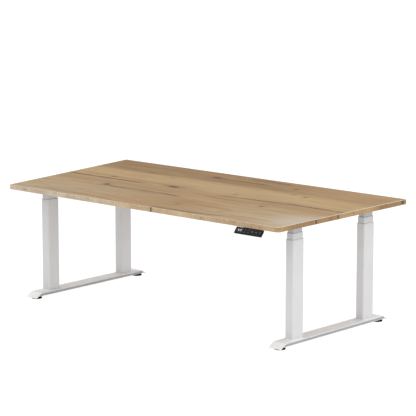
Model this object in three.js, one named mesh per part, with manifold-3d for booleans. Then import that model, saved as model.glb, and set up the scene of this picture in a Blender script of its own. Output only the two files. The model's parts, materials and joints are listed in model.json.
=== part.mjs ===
// Height adjustable standing desk on four telescopic columns, at its lowest height.
// Millimetres, +Z up. The user sits on the -Y side. The model is drawn about the middle
// of the four columns, and the last lines move the origin to the middle of its footprint.

import * as THREE from 'three';
import { mergeVertices } from 'three/addons/utils/BufferGeometryUtils.js';
import Module from 'manifold-3d';

const wasm = await Module();
wasm.setup();

// ---- Driving dimensions ----

const GAP = 0.3;                        // kept between pieces that rest on each other
const CUT = 1;                          // how far a cutter runs past the face it cuts

const TOP_HEIGHT = 612;                 // worktop above the floor
const TOP_THICKNESS = 25;
const TOP_DEPTH = 1000;
const TOP_FRONT_LENGTH = 1800;
const TOP_SLANT = 120;                  // the left end runs out this far at the rear
const TOP_ROUND_CORNER = 21;             // the front right corner
const TOP_SQUARE_CORNER = 3;             // the other three
const TOP_SHIFT = 8;                    // the worktop sits this far right of the frame
const TOP_BEVEL = 1.5;
const UNDERSIDE = TOP_HEIGHT - TOP_THICKNESS;

const COLUMN_X = 825;                   // column centres, either side of the middle
const COLUMN_Y = 276;
const TUBE_WALL = 1.5;
const OUTER_TUBE = { x: 50, y: 80, corner: 8 };
const MIDDLE_TUBE = { x: 44, y: 74, corner: 6.5 };
const INNER_TUBE = { x: 38, y: 68, corner: 5 };
const OUTER_TUBE_TOP = 515;
const MIDDLE_TUBE_BOTTOM = 40;
const MIDDLE_TUBE_TOP = 547;
const INNER_TUBE_BOTTOM = 48;

const COLLAR_WALL = 0.9;                // plastic sleeve that guides the next tube
const COLLAR_DEPTH = 40;
const COLLAR_LIP = 1.2;

const FOOT_WIDTH = 77;
const FOOT_TOP = 32;
const FOOT_PLATE = 3;
const FOOT_BEND = 382;                  // the plate slopes down from here to its tip
const FOOT_TIP = 421;
const FOOT_TIP_DROP = 22;
const FOOT_CORNER = 3;
const CHANNEL_WALL = 2.5;
const CHANNEL_BOTTOM = 15;
const CHANNEL_WEB_WIDTH = 54;
const CHANNEL_WIDTH = 72;
const CHANNEL_END = 398;
const NUT_BLOCK = { x: 48, y: 24, z: 8 };

const PAD_Y = 382;
const PAD_RADIUS = 27;
const PAD_HEIGHT = 10;
const STUD_RADIUS = 5;
const STUD_TOP = 24;

const RAIL_WIDTH = 60;
const RAIL_WALL = 2.5;
const RAIL_HEIGHT = 12;
const RAIL_LENGTH = 880;
const RAIL_TAPER = 60;
const CROSSBAR = { y: 60, z: 26, corner: 4, wall: 2 };
const CROSSBAR_Y = 150;

const GEARBOX = { x: 32, y: 60, z: 28 };
const GEARBOX_BOTTOM = 552;
const HUB_RADIUS = 11;
const HUB_HEIGHT = 6;
const HUB_BORE_DEPTH = 13;
const NECK = { y: 24, z: 15 };
const MOTOR_RADIUS = 16;
const MOTOR_LENGTH = 104;
const MOTOR_CENTRE = 566;
const MOTOR_OFFSET = 32;                // from the column centre to the motor's near end

const DRIVE_SPINDLE_RADIUS = 6;
const DRIVE_SPINDLE_BOTTOM = 66;
const HOLLOW_SPINDLE = { inner: 6.5, outer: 10, bottom: 60, top: 420 };
const NUT_POST = { inner: 10.4, outer: 13.5, top: 400 };
const NUT_HEAD = { radius: 15.5, height: 24 };
const POST_FOOT = { radius: 16, height: 5 };

const CONTROL_BOX = { x: 280, y: 110, z: 38, corner: 10 };
const CONTROL_BOX_X = 250;
const INLET = { y: 27, z: 20, depth: 16 };
const INLET_Y = -36;
const SOCKET_ROW = { y: 62, z: 10, depth: 8 };
const SOCKET_ROW_Y = 15;

const HANDSET_X = 738;
const HANDSET_WIDTH = 166;
const HANDSET_REACH = 23;               // the face runs forward and down from the edge
const HANDSET_DROP = 27;
const HANDSET_THICKNESS = 7;
const HANDSET_CORNER = 3;
const HANDSET_BRACKET = { x: 90, y: 50, z: 12 };
const FACE_BORDER = 4;
const FACE_THICKNESS = 1.5;
const KEY_WELL_DEPTH = 5;
const KEY_HEIGHT = 4.3;
const KEY_PROUD = 0.4;
const KEY_CORNER = 2;
const DISPLAY = { x: -55, down: 16, width: 36, height: 20 };
const PRESET_KEY = { width: 12, height: 8 };
const LARGE_KEY = { width: 17, height: 14 };

const SIDES = [{ name: 'left', sign: -1 }, { name: 'right', sign: 1 }];
const ROWS = [{ name: 'front', sign: -1 }, { name: 'rear', sign: 1 }];

// ---- Materials ----

function material(color, roughness, metalness) {
  return new THREE.MeshStandardMaterial({ color, roughness, metalness });
}

const oak = () => material(0xb39069, 0.55, 0);
const whitePaint = () => material(0xdedede, 0.5, 0.1);
const whitePlastic = () => material(0xd2d2d2, 0.5, 0);
const blackRubber = () => material(0x151515, 0.8, 0);
const blackPlastic = () => material(0x1b1b1b, 0.5, 0);
const blackGloss = () => material(0x2a2a2a, 0.25, 0);
const blackPaint = () => material(0x202020, 0.6, 0.2);
const darkGlass = () => material(0x101010, 0.1, 0);
const steel = () => material(0x9a9c9f, 0.35, 0.9);
const nylon = () => material(0xe6e3da, 0.5, 0);

// ---- Solids ----

function toSolid(geometry) {
  const bare = geometry.clone();
  bare.deleteAttribute('normal');
  bare.deleteAttribute('uv');
  const merged = mergeVertices(bare, 1e-4);
  return new wasm.Manifold(new wasm.Mesh({
    numProp: 3,
    vertProperties: new Float32Array(merged.attributes.position.array),
    triVerts: new Uint32Array(merged.index.array),
  }));
}

function toGeometry(solid) {
  const mesh = solid.getMesh();
  const geometry = new THREE.BufferGeometry();
  geometry.setAttribute('position', new THREE.BufferAttribute(mesh.vertProperties, 3));
  geometry.setIndex(new THREE.BufferAttribute(mesh.triVerts, 1));
  geometry.computeVertexNormals();
  return geometry;
}

function joined(first, ...others) {
  return toGeometry(others.reduce((solid, other) => solid.add(toSolid(other)), toSolid(first)));
}

function cut(body, ...cutters) {
  return toGeometry(cutters.reduce((solid, cutter) => solid.subtract(toSolid(cutter)), toSolid(body)));
}

function common(first, second) {
  return toGeometry(toSolid(first).intersect(toSolid(second)));
}

// A closed outline with a round corner at every point, each with its own radius.
function roundedOutline(Outline, corners, radii) {
  const outline = new Outline();
  const arcHandle = 0.5523;
  corners.forEach((corner, i) => {
    const before = corners[(i + corners.length - 1) % corners.length];
    const after = corners[(i + 1) % corners.length];
    const start = corner.clone().add(before.clone().sub(corner).setLength(radii[i]));
    const end = corner.clone().add(after.clone().sub(corner).setLength(radii[i]));
    const first = start.clone().lerp(corner, arcHandle);
    const second = end.clone().lerp(corner, arcHandle);
    if (i === 0) outline.moveTo(start.x, start.y);
    else outline.lineTo(start.x, start.y);
    outline.bezierCurveTo(first.x, first.y, second.x, second.y, end.x, end.y);
  });
  outline.closePath();
  return outline;
}

function rectangle(Outline, width, height, radius) {
  const corners = [[-1, -1], [1, -1], [1, 1], [-1, 1]]
    .map(([x, y]) => new THREE.Vector2(x * width / 2, y * height / 2));
  return roundedOutline(Outline, corners, corners.map(() => radius));
}

function polygon(points) {
  return new THREE.Shape(points.map(([x, y]) => new THREE.Vector2(x, y)));
}

function ring(width, height, radius, wall) {
  const shape = rectangle(THREE.Shape, width, height, radius);
  const innerRadius = Math.max(radius - wall, 1);
  shape.holes.push(rectangle(THREE.Path, width - 2 * wall, height - 2 * wall, innerRadius));
  return shape;
}

function extrude(shape, length) {
  return new THREE.ExtrudeGeometry(shape, { depth: length, bevelEnabled: false, curveSegments: 4 });
}

function extrudeUp(shape, bottom, top) {
  return extrude(shape, top - bottom).translate(0, 0, bottom);
}

// A section drawn in Y and Z, run along X about the middle.
function extrudeAlongX(shape, length) {
  const turn = new THREE.Matrix4().makeBasis(
    new THREE.Vector3(0, 1, 0), new THREE.Vector3(0, 0, 1), new THREE.Vector3(1, 0, 0));
  return extrude(shape, length).translate(0, 0, -length / 2).applyMatrix4(turn);
}

// A section drawn in X and Z, run along Y about the middle.
function extrudeAlongY(shape, length) {
  return extrude(shape, length).rotateX(Math.PI / 2).translate(0, length / 2, 0);
}

function box(x, y, z) {
  return new THREE.BoxGeometry(x, y, z);
}

function cylinderUp(radius, bottom, top, sides = 24) {
  const height = top - bottom;
  return new THREE.CylinderGeometry(radius, radius, height, sides)
    .rotateX(Math.PI / 2).translate(0, 0, bottom + height / 2);
}

// A turned piece: the profile lists radius and height.
function turned(profile, sides) {
  const points = profile.map(([radius, height]) => new THREE.Vector2(radius, height));
  return new THREE.LatheGeometry(points, sides).rotateX(Math.PI / 2);
}

const desk = new THREE.Group();

function addPiece(name, geometry, finish, x = 0, y = 0, parent = desk) {
  const mesh = new THREE.Mesh(geometry, finish);
  mesh.name = name;
  mesh.position.set(x, y, 0);
  parent.add(mesh);
}

// ---- Worktop ----

function tabletop() {
  const half = TOP_FRONT_LENGTH / 2;
  const corners = [[-half, -1], [half, -1], [half, 1], [-half - TOP_SLANT, 1]]
    .map(([x, side]) => new THREE.Vector2(x + TOP_SHIFT, side * TOP_DEPTH / 2));
  const radii = [TOP_SQUARE_CORNER, TOP_ROUND_CORNER, TOP_SQUARE_CORNER, TOP_SQUARE_CORNER];
  const outline = roundedOutline(THREE.Shape, corners, radii);
  return new THREE.ExtrudeGeometry(outline, {
    depth: TOP_THICKNESS - 2 * TOP_BEVEL,
    bevelThickness: TOP_BEVEL,
    bevelSize: TOP_BEVEL,
    bevelOffset: -TOP_BEVEL,
    bevelSegments: 1,
    curveSegments: 6,
  }).translate(0, 0, UNDERSIDE + TOP_BEVEL);
}

// ---- Feet ----

// The folded plate seen from the side, as a line at its top or, lowered, at its bottom.
function footLine(lowered) {
  return [
    [-FOOT_TIP, FOOT_TOP - FOOT_TIP_DROP - lowered], [-FOOT_BEND, FOOT_TOP - lowered],
    [FOOT_BEND, FOOT_TOP - lowered], [FOOT_TIP, FOOT_TOP - FOOT_TIP_DROP - lowered],
  ];
}

function footPlate() {
  const section = polygon([...footLine(FOOT_PLATE), ...footLine(0).reverse()]);
  const plan = rectangle(THREE.Shape, FOOT_WIDTH, 2 * FOOT_TIP, FOOT_CORNER);
  return common(extrudeAlongX(section, FOOT_WIDTH), extrudeUp(plan, 0, FOOT_TOP + CUT));
}

// A hat section under the plate, with a threaded block at each end for a levelling pad.
function footChannel() {
  const web = CHANNEL_WEB_WIDTH / 2;
  const edge = CHANNEL_WIDTH / 2;
  const top = FOOT_TOP - FOOT_PLATE - GAP;
  const inside = web - CHANNEL_WALL;
  const flange = CHANNEL_BOTTOM + CHANNEL_WALL;
  const section = polygon([
    [-edge, CHANNEL_BOTTOM], [-inside, CHANNEL_BOTTOM], [-inside, top - CHANNEL_WALL],
    [inside, top - CHANNEL_WALL], [inside, CHANNEL_BOTTOM], [edge, CHANNEL_BOTTOM],
    [edge, flange], [web, flange], [web, top], [-web, top], [-web, flange], [-edge, flange],
  ]);
  const blocks = ROWS.map((row) => box(NUT_BLOCK.x + CHANNEL_WALL, NUT_BLOCK.y, NUT_BLOCK.z)
    .translate(0, row.sign * PAD_Y, CHANNEL_BOTTOM + NUT_BLOCK.z / 2));
  const holes = ROWS.map((row) => cylinderUp(STUD_RADIUS + GAP, 0, FOOT_TOP)
    .translate(0, row.sign * PAD_Y, 0));
  const above = extrudeAlongX(polygon([
    ...footLine(FOOT_PLATE + GAP), [FOOT_TIP, 2 * FOOT_TOP], [-FOOT_TIP, 2 * FOOT_TOP],
  ]), FOOT_WIDTH);
  return cut(joined(extrudeAlongY(section, 2 * CHANNEL_END), ...blocks), ...holes, above);
}

function levellingPad() {
  const chamfer = 2;
  const neck = 11;
  return turned([
    [0, 0], [PAD_RADIUS - chamfer, 0], [PAD_RADIUS, chamfer], [PAD_RADIUS, PAD_HEIGHT - 2 * chamfer],
    [PAD_RADIUS - chamfer, PAD_HEIGHT - chamfer], [neck, PAD_HEIGHT - chamfer],
    [neck, PAD_HEIGHT + chamfer], [STUD_RADIUS, PAD_HEIGHT + chamfer], [STUD_RADIUS, STUD_TOP],
    [0, STUD_TOP],
  ], 24);
}

// ---- Telescopic columns ----

function tube(size, bottom, top) {
  return extrudeUp(ring(size.x, size.y, size.corner, TUBE_WALL), bottom, top);
}

// A plastic sleeve in the mouth of a tube, with a lip over the tube's end.
function collar(size, mouth) {
  const skirt = TUBE_WALL + GAP;
  const wall = (width) => width - 2 * skirt;
  const sleeve = ring(wall(size.x), wall(size.y), size.corner - skirt, COLLAR_WALL);
  const lipWall = TUBE_WALL + COLLAR_WALL;
  const lip = ring(size.x - 2 * GAP, size.y - 2 * GAP, size.corner - GAP, lipWall);
  const lipBottom = mouth + GAP;
  return joined(
    extrudeUp(sleeve, mouth - COLLAR_DEPTH, lipBottom + COLLAR_LIP),
    extrudeUp(lip, lipBottom, lipBottom + COLLAR_LIP));
}

// The inner tube is slotted on its inboard side, where the motor passes through.
function innerTube(side) {
  const slot = box(INNER_TUBE.x / 2, NECK.y + 2, UNDERSIDE - GEARBOX_BOTTOM)
    .translate(-side.sign * INNER_TUBE.x / 2, 0, (UNDERSIDE + GEARBOX_BOTTOM) / 2);
  const top = UNDERSIDE - RAIL_WALL - 2 * GAP;
  return cut(tube(INNER_TUBE, INNER_TUBE_BOTTOM, top), slot);
}

function gearMotor(side) {
  const inboard = -side.sign;
  const block = extrudeUp(
    rectangle(THREE.Shape, GEARBOX.x, GEARBOX.y, 3), GEARBOX_BOTTOM, GEARBOX_BOTTOM + GEARBOX.z);
  const hub = cylinderUp(HUB_RADIUS, GEARBOX_BOTTOM - HUB_HEIGHT, GEARBOX_BOTTOM + CUT);
  const neckLength = MOTOR_OFFSET + 2 * CUT;
  const neck = box(neckLength, NECK.y, NECK.z)
    .translate(inboard * neckLength / 2, 0, MOTOR_CENTRE - CUT);
  const endCapLength = 10;
  const motor = turned([
    [0, 0], [MOTOR_RADIUS - 2, 0], [MOTOR_RADIUS, 2], [MOTOR_RADIUS, MOTOR_LENGTH - endCapLength],
    [MOTOR_RADIUS - 2, MOTOR_LENGTH - endCapLength], [MOTOR_RADIUS - 2, MOTOR_LENGTH],
    [0, MOTOR_LENGTH],
  ], 24).rotateY(inboard * Math.PI / 2).translate(inboard * MOTOR_OFFSET, 0, MOTOR_CENTRE);
  const boreBottom = GEARBOX_BOTTOM - HUB_HEIGHT;
  const bore = cylinderUp(DRIVE_SPINDLE_RADIUS + GAP, boreBottom - CUT, boreBottom + HUB_BORE_DEPTH);
  return cut(joined(block, hub, neck, motor), bore);
}

function driveSpindle() {
  const top = GEARBOX_BOTTOM - HUB_HEIGHT + HUB_BORE_DEPTH - 2 * GAP;
  return cylinderUp(DRIVE_SPINDLE_RADIUS, DRIVE_SPINDLE_BOTTOM, top, 16);
}

function hollowSpindle() {
  const { inner, outer, bottom, top } = HOLLOW_SPINDLE;
  return turned([[inner, bottom], [outer, bottom], [outer, top], [inner, top], [inner, bottom]], 16);
}

// A tube standing on the foot, with the nut for the hollow spindle in its head.
function nutPost() {
  const { inner, outer, top } = NUT_POST;
  const bottom = FOOT_TOP + GAP;
  const headBottom = top - NUT_HEAD.height;
  const flangeTop = bottom + POST_FOOT.height;
  return turned([
    [inner, bottom], [POST_FOOT.radius, bottom], [POST_FOOT.radius, flangeTop], [outer, flangeTop],
    [outer, headBottom], [NUT_HEAD.radius, headBottom], [NUT_HEAD.radius, top], [inner, top],
    [inner, bottom],
  ], 16);
}

// ---- Frame under the worktop ----

function sideRail() {
  const top = UNDERSIDE - GAP;
  const bottom = top - RAIL_HEIGHT;
  const edge = RAIL_WIDTH / 2;
  const inside = edge - RAIL_WALL;
  const section = polygon([
    [-edge, bottom], [-inside, bottom], [-inside, top - RAIL_WALL], [inside, top - RAIL_WALL],
    [inside, bottom], [edge, bottom], [edge, top], [-edge, top],
  ]);
  const end = RAIL_LENGTH / 2;
  const tapers = ROWS.map(({ sign }) => extrudeAlongX(polygon([
    [sign * (end - RAIL_TAPER), bottom - CUT], [sign * (end + CUT), bottom - CUT],
    [sign * (end + CUT), top - 2 * RAIL_WALL], [sign * (end - RAIL_TAPER), bottom],
  ]), RAIL_WIDTH + CUT));
  return cut(extrudeAlongY(section, RAIL_LENGTH), ...tapers);
}

function crossbar() {
  const length = 2 * (COLUMN_X - RAIL_WIDTH / 2 - GAP);
  const section = ring(CROSSBAR.y, CROSSBAR.z, CROSSBAR.corner, CROSSBAR.wall);
  return extrudeAlongX(section, length).translate(0, 0, UNDERSIDE - GAP - CROSSBAR.z / 2);
}

function controlBox() {
  const middle = UNDERSIDE - GAP - CONTROL_BOX.z / 2;
  const plan = rectangle(THREE.Shape, CONTROL_BOX.x, CONTROL_BOX.y, CONTROL_BOX.corner);
  const body = extrudeUp(plan, middle - CONTROL_BOX.z / 2, middle + CONTROL_BOX.z / 2);
  const face = CONTROL_BOX.x / 2;
  const pocket = (size, y) => box(2 * size.depth, size.y, size.z).translate(face, y, middle);
  return cut(body, pocket(INLET, INLET_Y), pocket(SOCKET_ROW, SOCKET_ROW_Y));
}

// ---- Handset ----

// The face leans back from its lower edge, about a line at the worktop's front lower edge.
const faceHeight = Math.hypot(HANDSET_REACH, HANDSET_DROP);
const faceTilt = Math.atan2(HANDSET_DROP, HANDSET_REACH);
const faceTop = { y: -TOP_DEPTH / 2, z: UNDERSIDE - GAP };

const handset = new THREE.Group();
handset.position.set(HANDSET_X, faceTop.y, faceTop.z);
handset.rotation.x = faceTilt;
desk.add(handset);

// A plate parallel to the face, with its outer side a given height above it.
function facePlate(Outline, x, down, width, height, corner, proud, thickness) {
  const shape = rectangle(Outline, width, height, corner);
  return extrude(shape, thickness).translate(x, -down, proud - thickness);
}

// The panel, with a block behind it that screws to the worktop.
function handsetHousing() {
  const middle = faceHeight / 2;
  const panel = facePlate(THREE.Shape, 0, middle, HANDSET_WIDTH, faceHeight, HANDSET_CORNER,
    0, HANDSET_THICKNESS);
  const bracket = box(HANDSET_BRACKET.x, HANDSET_BRACKET.y, HANDSET_BRACKET.z)
    .translate(0, HANDSET_BRACKET.y / 2, -HANDSET_BRACKET.z / 2).rotateX(-faceTilt);
  const width = HANDSET_WIDTH - 2 * FACE_BORDER;
  const height = faceHeight - 2 * FACE_BORDER;
  const recess = facePlate(THREE.Shape, 0, middle, width, height, 2, CUT, CUT + FACE_THICKNESS + GAP);
  const well = facePlate(THREE.Shape, 0, middle, width - 4, height - 4, 2, 0, KEY_WELL_DEPTH);
  const front = box(HANDSET_WIDTH, 2 * faceHeight, faceHeight).translate(0, 0, faceHeight / 2);
  return cut(joined(panel, bracket), recess, well, front);
}

const KEYS = [
  { name: 'key_preset_1', x: -23, down: 10.5, ...PRESET_KEY },
  { name: 'key_preset_2', x: 0, down: 10.5, ...PRESET_KEY },
  { name: 'key_preset_3', x: -23, down: 23, ...PRESET_KEY },
  { name: 'key_preset_4', x: 0, down: 23, ...PRESET_KEY },
  { name: 'key_menu', x: 22.5, down: 16.5, ...LARGE_KEY },
  { name: 'key_up', x: 45, down: 16.5, ...LARGE_KEY },
  { name: 'key_down', x: 67.5, down: 16.5, ...LARGE_KEY },
];

function handsetFace() {
  const width = HANDSET_WIDTH - 2 * FACE_BORDER - 2 * GAP;
  const height = faceHeight - 2 * FACE_BORDER - 2 * GAP;
  const plate = facePlate(THREE.Shape, 0, faceHeight / 2, width, height, 2, 0, FACE_THICKNESS);
  const windows = [DISPLAY, ...KEYS].map((hole) => facePlate(THREE.Shape, hole.x, hole.down,
    hole.width + 2 * GAP, hole.height + 2 * GAP, KEY_CORNER + GAP, CUT, 2 * CUT + FACE_THICKNESS));
  return cut(plate, ...windows);
}

function handsetKey(key) {
  return facePlate(THREE.Shape, key.x, key.down, key.width, key.height, KEY_CORNER, KEY_PROUD, KEY_HEIGHT);
}

function handsetDisplay() {
  const { x, down, width, height } = DISPLAY;
  return facePlate(THREE.Shape, x, down, width, height, KEY_CORNER, 0, FACE_THICKNESS);
}

// ---- Assembly ----

addPiece('tabletop', tabletop(), oak());

for (const side of SIDES) {
  const x = side.sign * COLUMN_X;
  addPiece(`${side.name}_foot_plate`, footPlate(), whitePaint(), x);
  addPiece(`${side.name}_foot_channel`, footChannel(), whitePaint(), x);
  addPiece(`${side.name}_side_rail`, sideRail(), blackPaint(), x);

  for (const row of ROWS) {
    const y = row.sign * COLUMN_Y;
    const corner = `${side.name}_${row.name}`;
    const add = (name, geometry, finish) => addPiece(`${corner}_${name}`, geometry, finish, x, y);
    addPiece(`${corner}_levelling_pad`, levellingPad(), blackRubber(), x, row.sign * PAD_Y);
    add('outer_tube', tube(OUTER_TUBE, FOOT_TOP + GAP, OUTER_TUBE_TOP), whitePaint());
    add('outer_collar', collar(OUTER_TUBE, OUTER_TUBE_TOP), whitePlastic());
    add('middle_tube', tube(MIDDLE_TUBE, MIDDLE_TUBE_BOTTOM, MIDDLE_TUBE_TOP), whitePaint());
    add('middle_collar', collar(MIDDLE_TUBE, MIDDLE_TUBE_TOP), whitePlastic());
    add('inner_tube', innerTube(side), whitePaint());
    add('gear_motor', gearMotor(side), blackPaint());
    add('drive_spindle', driveSpindle(), steel());
    add('hollow_spindle', hollowSpindle(), steel());
    add('nut_post', nutPost(), nylon());
  }
}

for (const row of ROWS) {
  addPiece(`${row.name}_crossbar`, crossbar(), blackPaint(), 0, row.sign * CROSSBAR_Y);
}

addPiece('control_box', controlBox(), blackPlastic(), CONTROL_BOX_X);
addPiece('handset_housing', handsetHousing(), blackPlastic(), 0, 0, handset);
addPiece('handset_face', handsetFace(), blackGloss(), 0, 0, handset);
addPiece('handset_display', handsetDisplay(), darkGlass(), 0, 0, handset);
for (const key of KEYS) {
  addPiece(key.name, handsetKey(key), blackPlastic(), 0, 0, handset);
}

const footprint = new THREE.Box3().setFromObject(desk).getCenter(new THREE.Vector3());
desk.position.set(-footprint.x, -footprint.y, 0);

export default desk;
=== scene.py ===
"""Looks for the height adjustable standing desk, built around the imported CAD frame.

Lengths are metres in the CAD's own frame. Places come from the CAD nodes' boxes, and the sizes
that a box can't give, such as wall thickness and corner radii, are named below.
"""

import json
import math

import bmesh
import bpy
from mathutils import Matrix, Vector


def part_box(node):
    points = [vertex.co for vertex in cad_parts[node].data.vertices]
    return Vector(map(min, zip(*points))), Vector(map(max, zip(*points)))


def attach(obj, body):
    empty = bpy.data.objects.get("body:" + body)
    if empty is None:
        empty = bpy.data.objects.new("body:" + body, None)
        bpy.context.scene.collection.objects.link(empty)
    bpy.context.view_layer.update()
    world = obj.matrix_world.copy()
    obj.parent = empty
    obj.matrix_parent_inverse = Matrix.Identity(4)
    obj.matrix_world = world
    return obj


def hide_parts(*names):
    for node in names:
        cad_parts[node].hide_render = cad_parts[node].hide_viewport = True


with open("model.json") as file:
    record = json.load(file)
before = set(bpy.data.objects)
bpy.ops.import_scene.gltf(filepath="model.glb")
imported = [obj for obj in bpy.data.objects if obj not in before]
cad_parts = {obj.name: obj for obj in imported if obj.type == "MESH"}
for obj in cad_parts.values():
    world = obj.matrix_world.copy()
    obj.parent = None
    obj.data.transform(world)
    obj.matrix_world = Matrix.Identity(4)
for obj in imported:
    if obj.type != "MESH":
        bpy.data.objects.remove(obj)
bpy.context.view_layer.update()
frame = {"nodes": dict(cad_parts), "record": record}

MM = 0.001

SIDES = {"left": -1, "right": 1}
ROWS = {"front": -1, "rear": 1}
CORNERS = [(side, row) for side in SIDES for row in ROWS]

TOP_LOW, TOP_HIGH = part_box("tabletop")


def node_middle(node):
    low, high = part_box(node)
    return (low + high) / 2


CENTRE = (node_middle("left_front_outer_tube") + node_middle("right_rear_outer_tube")) / 2
BODY_OF = {node: body for body, nodes in frame["record"]["behaviour"]["bodies"].items()
           for node in nodes}


# ---- Camera, light and floor ----

CAMERA_AZIMUTH = 41.37
CAMERA_ELEVATION = 10.30
CAMERA_DISTANCE = 10.537
CAMERA_LENS = 179.9
CAMERA_TARGET = Vector((CENTRE.x + 0.035, CENTRE.y, 0.531))
LIGHT_AZIMUTH = 35
REAR_LIGHT = 0.10
FRONT_LIGHT = 0.60
OVERHEAD_LIGHT = 1.35
SIDE_AZIMUTH = 75
SIDE_ELEVATION = 9
SIDE_DISTANCE = 7.0
SIDE_SIZE = (3.0, 1.0)
SIDE_POWER = 60


def direction(azimuth, elevation):
    """Unit vector to a place round the desk: azimuth 0 is in front of it and 90 to its right."""
    azimuth, elevation = math.radians(azimuth), math.radians(elevation)
    return Vector((math.sin(azimuth) * math.cos(elevation),
                   -math.cos(azimuth) * math.cos(elevation),
                   math.sin(elevation)))


def place_camera():
    data = bpy.data.cameras.new("camera")
    data.lens = CAMERA_LENS
    data.sensor_width = 36
    data.clip_end = 100
    camera = bpy.data.objects.new("camera", data)
    bpy.context.collection.objects.link(camera)
    back = direction(CAMERA_AZIMUTH, CAMERA_ELEVATION)
    camera.location = CAMERA_TARGET + back * CAMERA_DISTANCE
    camera.rotation_euler = (-back).to_track_quat("-Z", "Y").to_euler()
    bpy.context.scene.camera = camera


def smooth_step(tree, socket, low, high, start, end):
    """A world node that runs smoothly from start to end as the socket goes from low to high."""
    node = tree.nodes.new("ShaderNodeMapRange")
    node.interpolation_type = "SMOOTHSTEP"
    tree.links.new(socket, node.inputs[0])
    for i, value in enumerate((low, high, start, end), 1):
        if isinstance(value, bpy.types.NodeSocket):
            tree.links.new(value, node.inputs[i])
        else:
            node.inputs[i].default_value = value
    return node.outputs[0]


def light_studio():
    """A pale room: bright overhead and in front of the desk, and dim low down behind it."""
    world = bpy.data.worlds.new("studio")
    world.use_nodes = True
    tree = world.node_tree
    place = tree.nodes.new("ShaderNodeTexCoord").outputs["Generated"]
    split = tree.nodes.new("ShaderNodeSeparateXYZ")
    tree.links.new(place, split.inputs[0])
    forward = tree.nodes.new("ShaderNodeVectorMath")
    forward.operation = "DOT_PRODUCT"
    forward.inputs[1].default_value = direction(LIGHT_AZIMUTH, 0)
    tree.links.new(place, forward.inputs[0])
    low = smooth_step(tree, forward.outputs["Value"], -0.5, 0.5, REAR_LIGHT, FRONT_LIGHT)
    level = smooth_step(tree, split.outputs["Z"], 0.2, 0.6, low, OVERHEAD_LIGHT)
    background = tree.nodes["Background"]
    background.inputs["Color"].default_value = (1, 1, 1, 1)
    tree.links.new(level, background.inputs["Strength"])
    scene = bpy.context.scene
    scene.world = world
    scene.view_settings.view_transform = "Standard"


def add_side_light():
    """A low soft panel at the right, which lights the sides of the columns."""
    data = bpy.data.lights.new("side_light", "AREA")
    data.shape = "RECTANGLE"
    data.size, data.size_y = SIDE_SIZE
    data.energy = SIDE_POWER
    lamp = bpy.data.objects.new("side_light", data)
    bpy.context.collection.objects.link(lamp)
    side = direction(SIDE_AZIMUTH, SIDE_ELEVATION)
    lamp.location = CENTRE + side * SIDE_DISTANCE
    lamp.rotation_euler = side.to_track_quat("Z", "Y").to_euler()
    lamp.visible_camera = False


# ---- Material graphs ----

class Graph:
    """A material's nodes. Each method adds a node and returns its output socket."""

    def __init__(self, name, roughness=0.5, metallic=0.0, specular=0.5):
        self.material = bpy.data.materials.new(name)
        self.material.use_nodes = True
        self.tree = self.material.node_tree
        self.shader = self.tree.nodes["Principled BSDF"]
        self.put(self.shader, "Roughness", roughness)
        self.put(self.shader, "Metallic", metallic)
        self.put(self.shader, "Specular IOR Level", specular)

    def put(self, node, socket, value):
        """Gives a node's input a fixed value, or links another node's output to it."""
        target = node.inputs[socket]
        if isinstance(value, bpy.types.NodeSocket):
            self.tree.links.new(value, target)
        elif isinstance(value, tuple) and len(value) == 3 and target.type == "RGBA":
            target.default_value = (*value, 1)
        else:
            target.default_value = value

    def node(self, kind, inputs, output=0, **settings):
        node = self.tree.nodes.new("ShaderNode" + kind)
        for key, value in settings.items():
            setattr(node, key, value)
        for socket, value in inputs.items():
            self.put(node, socket, value)
        return node.outputs[output]

    def math(self, operation, first, second=0.0):
        return self.node("Math", {0: first, 1: second}, operation=operation)

    def coordinates(self, scale=(1, 1, 1), origin=(0, 0, 0)):
        """Place on the piece at rest, from the origin, stretched by the scale."""
        place = self.node("TexCoord", {}, "Object")
        moved = self.node("VectorMath", {0: place, 1: tuple(origin)}, operation="SUBTRACT")
        return self.node("VectorMath", {0: moved, 1: tuple(scale)}, operation="MULTIPLY")

    def noise(self, vector, scale, detail=2.0, roughness=0.5):
        values = {"Vector": vector, "Scale": scale, "Detail": detail, "Roughness": roughness}
        return self.node("TexNoise", values, "Fac")

    def curve(self, value, points):
        """A curve through the points, with straight stretches beyond the first and the last."""
        (first, _), (last, _) = points[0], points[-1]
        heights = [height for _, height in points]
        low, high = min(heights), max(heights)
        node = self.tree.nodes.new("ShaderNodeFloatCurve")
        curve = node.mapping.curves[0]
        while len(curve.points) < len(points):
            curve.points.new(0.5, 0.5)
        for point, (place, height) in zip(curve.points, points):
            point.location = ((place - first) / (last - first), (height - low) / (high - low))
        node.mapping.update()
        share = {0: value, 1: first, 2: last, 3: 0.0, 4: 1.0}
        self.put(node, "Value", self.node("MapRange", share))
        span = {0: node.outputs[0], 1: 0.0, 2: 1.0, 3: low, 4: high}
        return self.node("MapRange", span)

    def smooth(self, value, low, high, start=0.0, end=1.0):
        """Start below low, end above high, and a smooth step between them."""
        values = {0: value, 1: low, 2: high, 3: start, 4: end}
        return self.node("MapRange", values, interpolation_type="SMOOTHSTEP")

    def ramp(self, value, *stops):
        """Colours blended along a value: each stop is a place from 0 to 1 and a colour."""
        node = self.tree.nodes.new("ShaderNodeValToRGB")
        elements = node.color_ramp.elements
        while len(elements) < len(stops):
            elements.new(0.5)
        for element, (place, colour) in zip(elements, stops):
            element.position = place
            element.color = (*colour, 1)
        self.put(node, "Fac", value)
        return node.outputs["Color"]

    def mix(self, share, first, second, blend="MIX"):
        values = {0: share, 6: first, 7: second}
        return self.node("Mix", values, 2, data_type="RGBA", blend_type=blend)

    def bump(self, height, strength, depth):
        values = {"Height": height, "Strength": strength, "Distance": depth}
        self.put(self.shader, "Normal", self.node("Bump", values))

    def finish(self, colour):
        self.put(self.shader, "Base Color", colour)
        return self.material


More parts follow.
